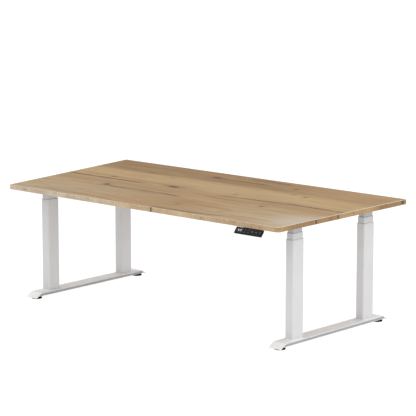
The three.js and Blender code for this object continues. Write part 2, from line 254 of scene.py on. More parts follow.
def srgb(red, green, blue):
    """A colour given as it looks on a screen, from 0 to 255, as the shader needs it."""
    def linear(value):
        value /= 255
        return value / 12.92 if value <= 0.04045 else ((value + 0.055) / 1.055) ** 2.4
    return tuple(linear(value) for value in (red, green, blue))


# ---- Oak ----

# Places on the worktop are in millimetres from the middle of the columns: x to the right, y back.
HALF_LENGTH = 900
HALF_DEPTH = 500
KNOTS = [  # x, y, length, width, darkness
    (-226, 366, 42, 32, 1.0), (322, 354, 28, 26, 0.6), (-587, 261, 22, 24, 0.6),
    (-396, 205, 18, 20, 0.5), (408, 230, 18, 22, 0.55), (496, 210, 20, 24, 0.65),
    (-205, 5, 60, 32, 1.0), (-524, -158, 34, 34, 1.0), (496, -130, 22, 26, 0.7),
    (140, -350, 20, 24, 0.55), (-660, 40, 22, 26, 0.6), (180, 45, 18, 30, 0.45),
    (440, -370, 20, 16, 0.4), (-260, -350, 16, 16, 0.3), (-640, 285, 18, 14, 0.35),
]
STREAKS = [  # points along the streak, half width, darkness
    ([(-960, -6), (-760, -12), (-560, -12), (-380, -10)], 20, 0.95),
    ([(-840, -14), (-760, -18), (-680, -14)], 13, 0.7),
    ([(-300, 8), (-160, 12), (10, 18)], 12, 0.35),
    ([(120, -50), (260, -24), (420, -10), (620, 4), (760, 0), (930, -4)], 17, 0.95),
    ([(700, 4), (760, 14), (850, 2), (940, -4)], 12, 0.6),
    ([(-520, -176), (-360, -184), (-200, -178), (20, -188)], 17, 0.9),
    ([(-230, 362), (-120, 356), (10, 360), (150, 366)], 20, 0.7),
    ([(-60, 446), (90, 450), (230, 438)], 28, 0.55),
    ([(80, -474), (225, -478), (380, -470), (520, -440)], 16, 0.8),
    ([(-820, -452), (-600, -446), (-380, -450), (-180, -470)], 18, 0.4),
    ([(-960, 404), (-700, 396), (-400, 402), (-250, 396)], 22, 0.35),
    ([(-900, 300), (-700, 268), (-420, 244)], 30, 0.25),
    ([(-300, 262), (-60, 276), (160, 270), (330, 276)], 26, 0.2),
]
BROWN_STREAKS = [
    ([(-900, -110), (-500, -96), (-150, -74), (200, -85), (600, -60), (880, -75)], 60, 0.3),
    ([(60, -300), (250, -296), (480, -330)], 34, 0.4),
    ([(-940, 40), (-620, 52), (-360, 30), (-100, 36)], 34, 0.4),
    ([(560, 150), (700, 130), (880, 120)], 30, 0.2),
    ([(440, -462), (520, -440), (600, -414), (730, -402), (800, -408)], 15, 0.45),
    ([(380, -418), (470, -396), (560, -404), (660, -380)], 12, 0.35),
    ([(-700, -372), (-480, -384), (-260, -400), (40, -440)], 16, 0.30),
    ([(-180, -30), (60, -60), (240, -110), (420, -120)], 22, 0.30),
    ([(240, 120), (380, 104), (560, 70)], 16, 0.25),
    ([(-120, 300), (120, 318), (420, 330)], 18, 0.25),
]
# The cream is partly the oak's own tone and partly a painted reflection: it makes the front of the left
# and right boards paler and greyer, as a gloss would.
OAK_CREAM_AND_SHEEN = srgb(188, 165, 130)
OAK_TAN = srgb(175, 143, 98)
OAK_HONEY = srgb(190, 161, 114)
OAK_BROWN = srgb(156, 123, 76)
BAND_CREAM = srgb(196, 180, 158)
BAND_TAN = srgb(196, 173, 140)
BAND_BROWN = srgb(183, 157, 125)
BAND_GOLD = srgb(174, 144, 98)
BAND_UMBER = srgb(150, 118, 75)
FRONT_TINTS = [  # share of the band's length from its left end, colour
    (0.0, BAND_CREAM), (0.3, BAND_CREAM), (0.5, BAND_TAN), (0.7, BAND_TAN), (0.85, BAND_BROWN),
]
SIDE_TINTS = [  # share of the band's length from its front end, colour
    (0.0, BAND_GOLD), (0.15, BAND_UMBER), (0.4, BAND_UMBER), (0.5, BAND_GOLD), (0.7, BAND_GOLD),
    (0.8, BAND_UMBER),
]
FRONT_MARKS = [  # place along the band, length, height from its middle, how tall, darkness
    (105, 8, -1, 30, 1.0), (-560, 16, 4, 10, 0.2), (-780, 22, -2, 14, 0.2),
    (-835, 12, 0, 18, 0.15), (430, 18, -3, 10, 0.2),
]
SIDE_MARKS = [
    (-50, 10, -2, 28, 0.8), (-220, 11, -2, 28, 0.85), (-492, 10, 2, 14, 0.25),
    (468, 18, 1, 15, 0.9), (300, 20, -3, 14, 0.3), (70, 12, 3, 12, 0.3),
]
DARK_GRAIN = (0.70, 0.63, 0.52)
PALE_GRAIN = (1.11, 1.12, 1.12)
DARK_BAND = (0.74, 0.68, 0.60)
PALE_BAND = (1.06, 1.05, 1.04)
WARM_OAK = srgb(188, 144, 96)
# Painted highlight: a paler patch of oak near the front right corner stands in for a soft gloss there.
PAINTED_SHEEN_OAK = srgb(208, 203, 192)
PAINTED_SHEEN_PATCH = (920, -320, 560, 480)  # x, y, length, width
PORE_BROWN = srgb(120, 88, 58)
BROWN_STREAK = srgb(128, 82, 46)
GREY_CRACK = srgb(64, 50, 36)
KNOT_BROWN = srgb(48, 28, 16)
# Painted highlight along the bands' rounded top edge, where a gloss would catch the light.
PAINTED_ARRIS_HIGHLIGHT = srgb(226, 219, 205)


def streak_darkness(graph, x, y, ragged, points, width, darkness):
    """Darkness of a long crack or streak, strongest on its line and broken up along it."""
    first, last = points[0][0], points[-1][0]
    fade = (last - first) * 0.12
    centre = graph.curve(x, points)
    away = graph.math("ABSOLUTE", graph.math("SUBTRACT", y, centre))
    across = graph.smooth(away, 0.0, width, 1.0, 0.0)
    inside = graph.math("MULTIPLY", graph.smooth(x, first - fade / 3, first + fade),
                        graph.smooth(x, last - fade, last + fade / 3, 1.0, 0.0))
    broken = graph.smooth(ragged, 0.30, 0.58, 0.35, 1.0)
    whole = graph.math("MULTIPLY", graph.math("MULTIPLY", across, inside), broken)
    return graph.math("MULTIPLY", whole, darkness)


def knot_distance(graph, x, y, place_x, place_y, length, width):
    """Distance from a knot's middle, 1 at its rim."""
    along = graph.math("DIVIDE", graph.math("SUBTRACT", x, place_x), length / 2)
    across = graph.math("DIVIDE", graph.math("SUBTRACT", y, place_y), width / 2)
    squares = graph.math("ADD", graph.math("MULTIPLY", along, along),
                         graph.math("MULTIPLY", across, across))
    return graph.math("SQRT", squares)


def planks(graph, across, front, rear):
    """The board's broad bands from front to rear, with a tan and a honey band between."""
    return graph.ramp(across, (0.0, front), (0.25, front), (0.4, OAK_TAN), (0.58, OAK_HONEY),
                      (0.7, OAK_HONEY), (0.78, rear))


def oak_face():
    """The board's faces: knotty oak with long grain, cracks and knots."""
    graph = Graph("oak_face", roughness=0.42, specular=0.5)
    place = graph.coordinates((1000, 1000, 1000), CENTRE)
    x = graph.node("SeparateXYZ", {0: place}, "X")
    y = graph.node("SeparateXYZ", {0: place}, "Y")

    wander = graph.noise(graph.coordinates((1.1, 3.0, 1), CENTRE), 1.0, 3.0)
    y_grain = graph.math("ADD", y, graph.math("MULTIPLY", wander, 60.0))
    knots = 0.0
    halos = 0.0
    for knot_x, knot_y, length, width, darkness in KNOTS:
        away = knot_distance(graph, x, y, knot_x, knot_y, length, width)
        swirl = graph.smooth(away, 0.0, 5.0, 1.0, 0.0)
        push = graph.math("MULTIPLY", graph.math("SUBTRACT", y, knot_y), swirl)
        y_grain = graph.math("SUBTRACT", y_grain, graph.math("MULTIPLY", push, 0.6))
        dark = graph.math("MULTIPLY", graph.smooth(away, 0.35, 1.5, 1.0, 0.0), darkness)
        knots = graph.math("MAXIMUM", knots, dark)
        halo = graph.smooth(away, 0.8, 4.0, 0.35 * darkness, 0.0)
        halos = graph.math("MAXIMUM", halos, halo)

    def grain(scale_x, scale_y, detail, roughness=0.5):
        vector = graph.node("CombineXYZ", {"X": graph.math("MULTIPLY", x, scale_x / 1000),
                                           "Y": graph.math("MULTIPLY", y_grain, scale_y / 1000)})
        return graph.noise(vector, 1.0, detail, roughness)

    boards = grain(0.5, 6.0, 2.0)
    figure = grain(2.2, 26.0, 4.0, 0.6)
    lines = grain(5.0, 150.0, 4.0, 0.65)
    pores = grain(26.0, 620.0, 2.0)
    ragged = grain(9.0, 40.0, 3.0)

    across = graph.node("MapRange", {0: y, 1: -HALF_DEPTH, 2: HALF_DEPTH, 3: 0.0, 4: 1.0})
    # Painted reflection, partly: the pale greyish front on the left and right stands in for the sheen of
    # the light on the oak.
    left = planks(graph, across, OAK_CREAM_AND_SHEEN, OAK_BROWN)
    middle = planks(graph, across, OAK_TAN, OAK_BROWN)
    right = planks(graph, across, OAK_CREAM_AND_SHEEN, OAK_TAN)
    colour = graph.mix(graph.smooth(x, -650.0, 50.0), left, middle)
    colour = graph.mix(graph.smooth(x, 100.0, 750.0), colour, right)
    tone = graph.math("ADD", graph.math("MULTIPLY", boards, 0.25),
                      graph.math("ADD", graph.math("MULTIPLY", figure, 0.40),
                                 graph.math("MULTIPLY", lines, 0.35)))
    shade = graph.ramp(tone, (0.36, DARK_GRAIN), (0.62, PALE_GRAIN))
    colour = graph.mix(1.0, colour, shade, "MULTIPLY")
    warm = graph.smooth(grain(1.7, 15.0, 3.0), 0.50, 0.68, 0.0, 0.4)
    colour = graph.mix(warm, colour, WARM_OAK)
    fibres = graph.smooth(grain(2.6, 62.0, 3.0, 0.55), 0.54, 0.66, 0.0, 0.42)
    colour = graph.mix(fibres, colour, BROWN_STREAK)
    # Painted highlight near the front right corner, in place of a gloss reflection.
    away = knot_distance(graph, x, y, *PAINTED_SHEEN_PATCH)
    colour = graph.mix(graph.smooth(away, 0.2, 1.0, 0.4, 0.0), colour, PAINTED_SHEEN_OAK)
    colour = graph.mix(halos, colour, BROWN_STREAK)
    pits = graph.smooth(pores, 0.60, 0.74, 0.0, 0.3)
    colour = graph.mix(pits, colour, PORE_BROWN)

    streaks = 0.0
    for points, width, darkness in STREAKS:
        dark = streak_darkness(graph, x, y, ragged, points, width, darkness)
        streaks = graph.math("MAXIMUM", streaks, dark)
    colour = graph.mix(streaks, colour, GREY_CRACK)
    for points, width, darkness in BROWN_STREAKS:
        dark = streak_darkness(graph, x, y, ragged, points, width, darkness)
        colour = graph.mix(dark, colour, BROWN_STREAK)
    colour = graph.mix(knots, colour, KNOT_BROWN)

    depth = graph.math("SUBTRACT", graph.math("MULTIPLY", lines, 0.6),
                       graph.math("MAXIMUM", knots, graph.math("ADD", streaks, pits)))
    graph.bump(depth, 0.25, 0.0006)
    graph.put(graph.shader, "Roughness", graph.smooth(figure, 0.3, 0.7, 0.38, 0.31))
    return graph.finish(colour)


def oak_edge(name, axis, reach, tints, highlight_share, marks):
    """Edge band: soft blotches with short upright grain, tinted along its length, with a painted
    highlight along its rounded top edge.
    """
    graph = Graph(name, roughness=0.45)
    band_middle = (CENTRE.x, CENTRE.y, (TOP_LOW.z + TOP_HIGH.z) / 2)
    place = graph.coordinates((1000, 1000, 1000), band_middle)
    axes = [graph.node("SeparateXYZ", {0: place}, letter) for letter in "XYZ"]
    along = graph.node("MapRange", {0: axes[axis], 1: -reach, 2: reach, 3: 0.0, 4: 1.0})
    blotch = graph.noise(graph.coordinates((9, 9, 22), CENTRE), 1.0, 3.0, 0.6)
    grain = graph.noise(graph.coordinates((55, 55, 260), CENTRE), 1.0, 3.0, 0.6)
    upright = graph.noise(graph.coordinates((130, 130, 10), CENTRE), 1.0, 2.0)
    tone = graph.math("ADD", graph.math("MULTIPLY", blotch, 0.40),
                      graph.math("ADD", graph.math("MULTIPLY", grain, 0.20),
                                 graph.math("MULTIPLY", upright, 0.40)))
    shade = graph.ramp(tone, (0.38, DARK_BAND), (0.60, PALE_BAND))
    colour = graph.mix(1.0, graph.ramp(along, *tints), shade, "MULTIPLY")
    for middle, length, height, tall, darkness in marks:
        away = graph.math("ABSOLUTE", graph.math("SUBTRACT", axes[axis], middle))
        level = graph.math("ABSOLUTE", graph.math("SUBTRACT", axes[2], height))
        spot = graph.math("MULTIPLY", graph.smooth(away, 0.3 * length, 0.7 * length, 1.0, 0.0),
                          graph.smooth(level, 0.3 * tall, 0.7 * tall, 1.0, 0.0))
        colour = graph.mix(graph.math("MULTIPLY", spot, darkness), colour, KNOT_BROWN)
    # Painted highlight: the band is paler towards its rounded top edge.
    arris_highlight = graph.smooth(axes[2], 9.6, 12.0, 0.0, highlight_share)
    colour = graph.mix(arris_highlight, colour, PAINTED_ARRIS_HIGHLIGHT)
    graph.bump(grain, 0.2, 0.0004)
    return graph.finish(colour)


# ---- Other materials ----

def powder_coat(name, tone, dark_tone, roughness=0.5, painted_side_shade=1.0):
    """Powder paint: faintly cloudy, with a fine orange-peel surface and painted shade that darkens its
    upright sides.
    """
    graph = Graph(name, roughness=roughness)
    cloud = graph.noise(graph.coordinates(), 9.0, 3.0)
    speck = graph.noise(graph.coordinates(), 700.0, 2.0)
    colour = graph.ramp(cloud, (0.3, dark_tone), (0.7, tone))
    if painted_side_shade < 1.0:
        # Painted shade: faces that stand upright are darkened by the side factor.
        normal = graph.node("TexCoord", {}, "Normal")
        rise = graph.math("ABSOLUTE", graph.node("SeparateXYZ", {0: normal}, "Z"))
        side = graph.smooth(rise, 0.3, 0.7, 1.0, 0.0)
        colour = graph.mix(side, colour, graph.mix(1.0, colour, (painted_side_shade,) * 3, "MULTIPLY"))
    graph.bump(speck, 0.12, 0.0003)
    graph.put(graph.shader, "Roughness",
              graph.smooth(speck, 0.3, 0.7, roughness - 0.06, roughness + 0.08))
    return graph.finish(colour)


def moulded_plastic(name, tone, dark_tone, roughness=0.5, texture=0.2, specular=0.5):
    """Spark-textured plastic with slight wear in its tone."""
    graph = Graph(name, roughness=roughness, specular=specular)
    cloud = graph.noise(graph.coordinates(), 40.0, 3.0)
    spark = graph.noise(graph.coordinates(), 1500.0, 3.0, 0.7)
    colour = graph.ramp(cloud, (0.3, dark_tone), (0.7, tone))
    graph.bump(spark, texture, 0.0002)
    graph.put(graph.shader, "Roughness",
              graph.smooth(cloud, 0.3, 0.7, roughness - 0.05, roughness + 0.07))
    return graph.finish(colour)


def pad_rubber():
    graph = Graph("pad_rubber", roughness=0.8, specular=0.08)
    dust = graph.noise(graph.coordinates(), 120.0, 4.0, 0.7)
    colour = graph.ramp(dust, (0.4, srgb(10, 10, 10)), (0.8, srgb(30, 30, 29)))
    graph.bump(dust, 0.3, 0.0004)
    return graph.finish(colour)


def turned_steel():
    """Ground steel with fine turning lines round its axis."""
    graph = Graph("turned_steel", roughness=0.3, metallic=1.0)
    lines = graph.noise(graph.coordinates((20, 20, 2500)), 1.0, 2.0)
    colour = graph.ramp(lines, (0.3, srgb(150, 152, 155)), (0.7, srgb(196, 198, 200)))
    graph.bump(lines, 0.15, 0.0002)
    graph.put(graph.shader, "Roughness", graph.smooth(lines, 0.3, 0.7, 0.24, 0.38))
    return graph.finish(colour)


def display_glass():
    graph = Graph("display_glass", roughness=0.08)
    smear = graph.noise(graph.coordinates(), 60.0, 3.0)
    colour = graph.ramp(smear, (0.3, srgb(12, 12, 13)), (0.7, srgb(22, 22, 24)))
    graph.put(graph.shader, "Roughness", graph.smooth(smear, 0.4, 0.8, 0.06, 0.16))
    return graph.finish(colour)


def printed_mark(name, tone, glow):
    """Pale print on the handset, or its lit digits. The print's faint glow is painted light; the digits'
    glow is their own.
    """
    graph = Graph(name, roughness=0.6)
    worn = graph.noise(graph.coordinates(), 900.0, 2.0)
    shade = tuple(part * 0.8 for part in tone)
    colour = graph.ramp(worn, (0.3, shade), (0.6, tone))
    graph.put(graph.shader, "Emission Color", (*tone, 1))
    graph.put(graph.shader, "Emission Strength", glow)
    return graph.finish(colour)


# ---- Mesh helpers ----

SHARP = math.radians(35)


def link_piece(name, mesh, finish, body, replaced=()):
    """Puts a mesh in the scene as a piece that rides a body, in place of the CAD nodes named."""
    mesh.shade_smooth()
    mesh.set_sharp_from_angle(angle=SHARP)
    mesh.materials.clear()
    mesh.materials.append(finish)
    piece = bpy.data.objects.new(name, mesh)
    bpy.context.collection.objects.link(piece)
    even = piece.modifiers.new("even_normals", "WEIGHTED_NORMAL")
    even.weight = 100
    even.keep_sharp = True
    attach(piece, body)
    if replaced:
        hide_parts(*replaced)
    return piece


def add_piece(name, shape, finish, body, replaced=(), matrix=None):
    vertices, faces = shape
    mesh = bpy.data.meshes.new(name)
    mesh.from_pydata([tuple(vertex) for vertex in vertices], [], faces)
    if matrix is not None:
        mesh.transform(matrix)
    tidy = bmesh.new()
    tidy.from_mesh(mesh)
    bmesh.ops.recalc_face_normals(tidy, faces=tidy.faces)
    tidy.to_mesh(mesh)
    tidy.free()
    return link_piece(name, mesh, finish, body, replaced)


def refine_node(node, finish, edge=0.0):
    """A CAD node's own shape with its seams merged, its sharp edges rounded and curves smooth."""
    shape = bmesh.new()
    shape.from_mesh(frame["nodes"][node].data)
    bmesh.ops.remove_doubles(shape, verts=shape.verts, dist=0.01 * MM)
    bmesh.ops.dissolve_limit(shape, angle_limit=math.radians(1), verts=shape.verts,
                             edges=shape.edges)
    if edge:
        sharp = [e for e in shape.edges if e.is_manifold and e.calc_face_angle() > SHARP]
        bmesh.ops.bevel(shape, geom=sharp, offset=edge, segments=3, profile=0.5,
                        affect="EDGES", clamp_overlap=True)
    mesh = bpy.data.meshes.new(node + "_body")
    shape.to_mesh(mesh)
    shape.free()
    return link_piece(node + "_body", mesh, finish, BODY_OF[node], [node])


def loft(rings, closed=False):
    """Faces between rings of equal length. The ends are capped, or joined if it is closed."""
    count = len(rings[0])
    vertices = [point for ring in rings for point in ring]
    faces = []
    for level in range(len(rings) if closed else len(rings) - 1):
        low, high = level * count, (level + 1) % len(rings) * count
        for i in range(count):
            after = (i + 1) % count
            faces.append((low + i, low + after, high + after, high + i))
    if not closed:
        faces.append(tuple(range(count)))
        faces.append(tuple(range((len(rings) - 1) * count, len(rings) * count)))
    return vertices, faces


def joined(*parts):
    """Several shapes as one list of vertices and one of faces."""
    vertices, faces = [], []
    for part_vertices, part_faces in parts:
        start = len(vertices)
        vertices += part_vertices
        faces += [tuple(start + i for i in face) for face in part_faces]
    return vertices, faces


def moved(shape, matrix):
    vertices, faces = shape
    return [matrix @ Vector(vertex) for vertex in vertices], faces


def rounded_rectangle(width, height, radius, steps=8):
    """Points round a rectangle about the origin."""
    points = []
    for quarter, (sign_x, sign_y) in enumerate([(1, 1), (-1, 1), (-1, -1), (1, -1)]):
        middle_x = sign_x * (width / 2 - radius)
        middle_y = sign_y * (height / 2 - radius)
        for step in range(steps + 1):
            angle = math.radians(90 * (quarter + step / steps))
            points.append((middle_x + radius * math.cos(angle),
                           middle_y + radius * math.sin(angle)))
    return points


def rectangle_ring(size, radius, z, inset=0.0, middle=(0.0, 0.0)):
    """A ring round a rectangle at one height, drawn in from its outline by the inset."""
    outline = rounded_rectangle(size[0] - 2 * inset, size[1] - 2 * inset,
                                max(radius - inset, 0.3 * MM))
    return [(middle[0] + x, middle[1] + y, z) for x, y in outline]


def plate(size, radius, low, high, edge=0.4 * MM, middle=(0.0, 0.0)):
    """A plate with rounded corners, and rounded edges above and below."""
    levels = [(edge, low), (0.3 * edge, low + 0.3 * edge), (0, low + edge),
              (0, high - edge), (0.3 * edge, high - 0.3 * edge), (edge, high)]
    return loft([rectangle_ring(size, radius, z, inset, middle) for inset, z in levels])


def turned(profile, steps=48):
    """A turned shape about Z. The profile lists radius and height."""
    turns = [2 * math.pi * i / steps for i in range(steps)]
    return loft([[(radius * math.cos(turn), radius * math.sin(turn), z) for turn in turns]
                 for radius, z in profile])


def at(x, y, z):
    return Matrix.Translation((x, y, z))


# ---- Worktop ----

TOP_FRONT_LENGTH = 1.800
TOP_SLANT = 0.120
ROUND_CORNER = 21 * MM
SQUARE_CORNER = 3 * MM
CORNER_RADII = (SQUARE_CORNER, ROUND_CORNER, SQUARE_CORNER, SQUARE_CORNER)
CORNER_STEPS = 10
BAND_THICKNESS = 2 * MM
BAND_ROUNDING = 1.6 * MM
BAND_STEPS = 5
SEAM = 0.2 * MM


def worktop_outline(inset):
    """Points round the worktop: its front left, front right, rear right and rear left corner."""
    front, rear, right = TOP_LOW.y, TOP_HIGH.y, TOP_HIGH.x
    left = right - TOP_FRONT_LENGTH
    sharp = [Vector((left, front)), Vector((right, front)), Vector((right, rear)),
             Vector((left - TOP_SLANT, rear))]
    points = []
    for i, corner in enumerate(sharp):
        to_last = (sharp[i - 1] - corner).normalized()
        to_next = (sharp[(i + 1) % 4] - corner).normalized()
        half = to_last.angle(to_next) / 2
        radius = CORNER_RADII[i] * math.tan(half)
        middle = corner + (to_last + to_next).normalized() * (radius / math.sin(half))
        first = math.atan2(-to_last.x, to_last.y)
        sweep = math.pi - 2 * half
        for step in range(CORNER_STEPS + 1):
            angle = first + math.pi + sweep * step / CORNER_STEPS
            outward = Vector((math.cos(angle), math.sin(angle)))
            points.append(middle + outward * (radius - inset))
    return points


def band_section():
    """The edge band's section, as inset from the worktop's outline and height."""
    low, high = TOP_LOW.z, TOP_HIGH.z
    turns = [math.pi / 2 * step / BAND_STEPS for step in range(BAND_STEPS + 1)]
    lower = [(BAND_ROUNDING * (1 - math.sin(turn)), low + BAND_ROUNDING * (1 - math.cos(turn)))
             for turn in turns]
    upper = [(BAND_ROUNDING * (1 - math.cos(turn)), high - BAND_ROUNDING * (1 - math.sin(turn)))
             for turn in turns]
    return [(BAND_THICKNESS, low), *lower, *upper, (BAND_THICKNESS, high)]


def band_ring(place, shift=0.0):
    """The band's section at one point of the outline, moved along X by the shift."""
    ring = []
    for inset, z in band_section():
        point = worktop_outline(inset)[place]
        ring.append((point.x + shift, point.y, z))
    return ring


def build_worktop():
    face = oak_face()
    front_oak = oak_edge("oak_front_band", 0, HALF_LENGTH, FRONT_TINTS, 0.3, FRONT_MARKS)
    side_oak = oak_edge("oak_side_band", 1, HALF_DEPTH, SIDE_TINTS, 0.75, SIDE_MARKS)
    board = loft([[(*point, z) for point in worktop_outline(BAND_THICKNESS + 0.02 * MM)]
                  for z in (TOP_LOW.z, TOP_HIGH.z)])
    add_piece("worktop_board", board, face, "top", ["tabletop"])

    count = CORNER_STEPS + 1
    straight = {"front": count - 1, "rear": 3 * count - 1}
    for name, place in straight.items():
        towards = 1 if name == "front" else -1
        rings = [band_ring(place, SEAM * towards), band_ring(place + 1, -SEAM * towards)]
        add_piece(f"worktop_{name}_band", loft(rings), front_oak, "top")
    wrapped = {"right": range(count, 3 * count),
               "left": [*range(3 * count, 4 * count), *range(count)]}
    for name, places in wrapped.items():
        rings = [band_ring(place) for place in places]
        add_piece(f"worktop_{name}_band", loft(rings), side_oak, "top")


# ---- Feet ----

FOOT_THICKNESS = 3 * MM
FOOT_CORNER = 3 * MM
FOOT_FLAT_HALF = 0.382
FOOT_DROP = 22 * MM
FOOT_BEND_RADIUS = 8 * MM


def foot_line(low, high):
    """The plate's top seen from the side: places along it and the slope there."""
    middle = (low.y + high.y) / 2
    tip = (high.y - low.y) / 2
    slope = math.atan2(FOOT_DROP, tip - FOOT_FLAT_HALF)
    reach = FOOT_BEND_RADIUS * math.tan(slope / 2)
    start = FOOT_FLAT_HALF - reach
    half = [(y, high.z, 0.0) for y in (0.0, start * 0.5, start)]
    for step in range(1, 7):
        turn = slope * step / 6
        half.append((start + FOOT_BEND_RADIUS * math.sin(turn),
                     high.z - FOOT_BEND_RADIUS * (1 - math.cos(turn)), turn))
    corner = FOOT_CORNER * math.cos(slope)
    for step in range(0, 9):
        y = tip - corner * math.cos(math.pi / 2 * step / 8)
        half.append((y, high.z - (y - FOOT_FLAT_HALF) * math.tan(slope), slope))
    rear = [(middle + y, z, turn) for y, z, turn in half]
    front = [(middle - y, z, -turn) for y, z, turn in reversed(half[1:])]
    return front + rear


def foot_plate_shape(low, high):
    middle_x = (low.x + high.x) / 2
    width = high.x - low.x
    rings = []
    for y, z, turn in foot_line(low, high):
        from_tip = min(high.y - y, y - low.y)
        away = max(FOOT_CORNER - from_tip, 0.0)
        cut_in = FOOT_CORNER - math.sqrt(max(FOOT_CORNER ** 2 - away ** 2, 0.0))
        across = rounded_rectangle(width - 2 * cut_in, FOOT_THICKNESS, 0.9 * MM, 3)
        rings.append([(middle_x + x, y + (n - FOOT_THICKNESS / 2) * math.sin(turn),
                       z + (n - FOOT_THICKNESS / 2) * math.cos(turn)) for x, n in across])
    return loft(rings)


def weld_bead(low, high, foot_top):
    """A painted fillet weld where a column stands on its foot."""
    size = (high.x - low.x, high.y - low.y)
    middle = ((low.x + high.x) / 2, (low.y + high.y) / 2)
    rings = []
    for reach, rise in ((2.6, 0.0), (1.6, 0.5), (0.7, 1.4), (0.0, 2.6), (-0.6, 2.6), (-0.6, 0.0)):
        ring = rectangle_ring(size, COLUMN_CORNERS["outer"], foot_top + rise * MM,
                              -reach * MM, middle)
        rings.append(ring)
    return loft(rings, closed=True)


def pad_shape(low, high):
    radius = (high.x - low.x) / 2
    return moved(turned([
        (0.0, 0.6 * MM), (radius - 5 * MM, 0.6 * MM), (radius - 4 * MM, 0.0),
        (radius - 1.5 * MM, 0.0), (radius - 0.4 * MM, 0.5 * MM), (radius, 1.6 * MM),
        (radius, 4.6 * MM), (radius - 0.5 * MM, 5.8 * MM), (radius - 2.2 * MM, 7.2 * MM),
        (radius - 6 * MM, 8.2 * MM), (14 * MM, 9.0 * MM), (11.2 * MM, 9.3 * MM),
        (10.8 * MM, 12.0 * MM), (0.0, 12.0 * MM),
    ], 64), at((low.x + high.x) / 2, (low.y + high.y) / 2, 0))


def stud_shape(low, high):
    """A threaded stud: rings of thread on its length, with a turned end."""
    core, crest, pitch = 4.2 * MM, 5.0 * MM, 1.5 * MM
    profile = [(0.0, 10.5 * MM), (core, 10.5 * MM)]
    z = 12.2 * MM
    while z + pitch < high.z - MM:
        profile += [(core, z), (crest, z + pitch * 0.45), (crest, z + pitch * 0.55)]
        z += pitch
    profile += [(core, z), (core - 0.8 * MM, high.z), (0.0, high.z)]
    return moved(turned(profile, 32), at((low.x + high.x) / 2, (low.y + high.y) / 2, 0))


def build_feet(paint, painted_shade_channel_paint, rubber, steel):
    for side in SIDES:
        node = f"{side}_foot_plate"
        low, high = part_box(node)
        add_piece(f"{side}_foot_top", foot_plate_shape(low, high), paint, BODY_OF[node],
                  [node])
        # The channel's darker paint is painted shade.
        refine_node(f"{side}_foot_channel", painted_shade_channel_paint, 0.4 * MM)
    for side, row in CORNERS:
        node = f"{side}_{row}_levelling_pad"
        low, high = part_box(node)
        add_piece(f"{side}_{row}_pad", pad_shape(low, high), rubber, BODY_OF[node],
                  [node])
        add_piece(f"{side}_{row}_pad_stud", stud_shape(low, high), steel, BODY_OF[node])
        tube_low, tube_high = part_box(f"{side}_{row}_outer_tube")
        foot_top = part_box(f"{side}_foot_plate")[1].z
        add_piece(f"{side}_{row}_weld", weld_bead(tube_low, tube_high, foot_top), paint,
                  f"{side}_base")


# ---- Columns ----

COLUMN_CORNERS = {"outer": 8 * MM, "middle": 6.5 * MM, "inner": 5 * MM}
TUBE_WALL = 1.5 * MM
COLLAR_WALL = 0.9 * MM
COLLAR_LIP = 1.2 * MM
COLLAR_SKIRT = 1.8 * MM


def box_of(node):
    """A node's lowest and highest corner, its size in plan and its middle in plan."""
    low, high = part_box(node)
    return low, high, (high.x - low.x, high.y - low.y), ((low.x + high.x) / 2, (low.y + high.y) / 2)


def tube_shape(node, corner):
    low, high, size, middle = box_of(node)
    edge = 0.35 * MM
    levels = [(edge, low.z), (0.0, low.z + edge), (0.0, high.z - edge), (edge * 0.3, high.z - edge * 0.3),
              (edge, high.z), (TUBE_WALL - edge, high.z), (TUBE_WALL, high.z - edge),
              (TUBE_WALL, low.z + edge), (TUBE_WALL - edge, low.z)]
    return loft([rectangle_ring(size, corner, z, inset, middle) for inset, z in levels], closed=True)


def collar_shape(node, corner):
    """A plastic sleeve with a rounded lip that covers the tube's end."""
    low, high, size, middle = box_of(node)
    corner -= 0.3 * MM
    sleeve = COLLAR_SKIRT - 0.3 * MM
    inner = sleeve + COLLAR_WALL
    lip_low = high.z - COLLAR_LIP
    levels = [(sleeve + 0.2 * MM, low.z), (sleeve, low.z + MM), (sleeve, lip_low), (0.0, lip_low),
              (0.0, high.z - 0.6 * MM), (0.15 * MM, high.z - 0.2 * MM), (0.6 * MM, high.z),
              (inner - 0.4 * MM, high.z), (inner, high.z - 0.4 * MM), (inner, low.z)]
    return loft([rectangle_ring(size, corner, z, inset, middle) for inset, z in levels], closed=True)


def build_columns(paints, plastic, motor_paint, steel, nylon):
    for side, row in CORNERS:
        name = f"{side}_{row}"
        for part in ("outer", "middle"):
            tube, collar = f"{name}_{part}_tube", f"{name}_{part}_collar"
            corner = COLUMN_CORNERS[part]
            add_piece(f"{name}_{part}_column", tube_shape(tube, corner), paints[part], BODY_OF[tube],
                      [tube])
            add_piece(f"{name}_{part}_glide", collar_shape(collar, corner), plastic,
                      BODY_OF[collar], [collar])
        refine_node(f"{name}_inner_tube", paints["inner"], 0.3 * MM)
        refine_node(f"{name}_gear_motor", motor_paint, 0.6 * MM)
        refine_node(f"{name}_drive_spindle", steel, 0.5 * MM)
        refine_node(f"{name}_hollow_spindle", steel)
        refine_node(f"{name}_nut_post", nylon)


# ---- Frame under the worktop ----

def screw_shape(x, y, z, head=4.6 * MM, height=2.6 * MM):
    """A pan head seen from below, with a hexagon socket. Its seat is at z and its head hangs."""
    steps = 36
    turns = [2 * math.pi * i / steps for i in range(steps)]

    def circle(radius, depth):
        return [(x + radius * math.cos(t), y + radius * math.sin(t), z - depth) for t in turns]

    def socket(flats, depth):
        ring = []
        for t in turns:
            radius = flats / 2 / math.cos((t + math.pi / 6) % (math.pi / 3) - math.pi / 6)
            ring.append((x + radius * math.cos(t), y + radius * math.sin(t), z - depth))
        return ring

    return loft([circle(head, 0.0), circle(head, 0.35 * height), circle(0.92 * head, 0.7 * height),
                 circle(0.7 * head, height), socket(3.2 * MM, height), socket(3.0 * MM, 0.3 * height)])


RAIL_SCREWS = (0.060, 0.215, 0.415)  # distances from the rail's middle, to the front and rear
RAIL_SCREW_SEAT = 2.5 * MM  # below the rail's top
CROSSBAR_SCREWS = (-0.46, -0.18, 0.18, 0.46)  # shares of the crossbar's length from its middle


